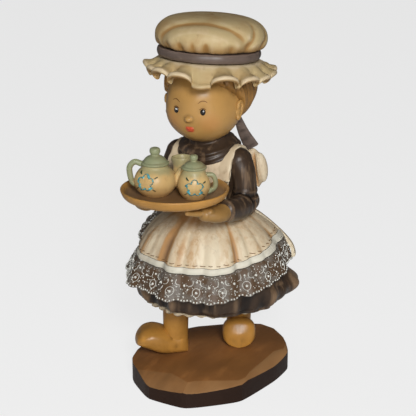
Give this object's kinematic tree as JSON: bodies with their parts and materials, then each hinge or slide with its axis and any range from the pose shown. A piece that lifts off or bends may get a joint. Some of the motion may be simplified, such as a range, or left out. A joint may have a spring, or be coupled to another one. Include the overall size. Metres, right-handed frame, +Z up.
{
  "type": "carved child figurine",
  "caption": "Carved and painted wooden child in mob cap, pinafore and clogs, carrying a round tray of tea things, on a chip-carved base",
  "frame": {"origin": "on the underside of the base, at its middle", "axes": "+Z up the figure, the child faces -Y, the child's left hand is towards +X"},
  "size_m": [0.068, 0.0853, 0.1475],
  "materials": {
    "base_wood": "satin dark stain over carved wood",
    "peg_wood": "bare wood",
    "shoe_wood": "satin honey stain",
    "dress_dark": "painted, dry-brushed ridges",
    "petticoat_cream": "painted",
    "apron_cream": "painted cream with tan recesses",
    "hem_white": "painted",
    "lace_brown": "painted with white dots and rings",
    "tray_wood": "satin stain",
    "pot_cream": "painted with blue flowers",
    "pot_sage": "painted",
    "skin_wood": "satin tint over wood",
    "hair_wood": "satin stain",
    "ribbon_grey": "painted"
  },
  "bodies": {
    "root": {"plinth": "base_wood", "right_heel_peg": "peg_wood", "left_heel_peg": "peg_wood", "neck_peg": "peg_wood", "right_shoe": "shoe_wood", "left_shoe": "shoe_wood", "right_leg": "shoe_wood", "left_leg": "shoe_wood", "skirt": "dress_dark", "bodice": "dress_dark", "collar": "dress_dark", "left_upper_sleeve": "dress_dark", "right_upper_sleeve": "dress_dark", "left_forearm_sleeve": "dress_dark", "right_forearm_sleeve": "dress_dark", "petticoat": "petticoat_cream", "apron_skirt": "apron_cream", "apron_bib": "apron_cream", "waistband": "apron_cream", "left_shoulder_strap": "apron_cream", "right_shoulder_strap": "apron_cream", "bow_knot": "apron_cream", "left_bow_loop": "apron_cream", "right_bow_loop": "apron_cream", "left_bow_tail": "apron_cream", "right_bow_tail": "apron_cream", "cap_frill": "apron_cream", "cap_crown": "apron_cream", "apron_hem_band": "hem_white", "lace_border": "lace_brown", "side_lace": "lace_brown", "tray": "tray_wood", "teapot_body": "pot_cream", "sugar_bowl": "pot_cream", "cream_jug": "pot_cream", "teapot_lid": "pot_sage", "teapot_handle": "pot_sage", "teapot_spout": "pot_sage", "sugar_bowl_lid": "pot_sage", "sugar_bowl_handle": "pot_sage", "cream_jug_handle": "pot_sage", "head": "skin_wood", "left_hand": "skin_wood", "right_hand": "skin_wood", "hair": "hair_wood", "cap_ribbon": "ribbon_grey", "ribbon_knot": "ribbon_grey", "left_ribbon_tail": "ribbon_grey", "right_ribbon_tail": "ribbon_grey"}
  },
  "joints": []
}
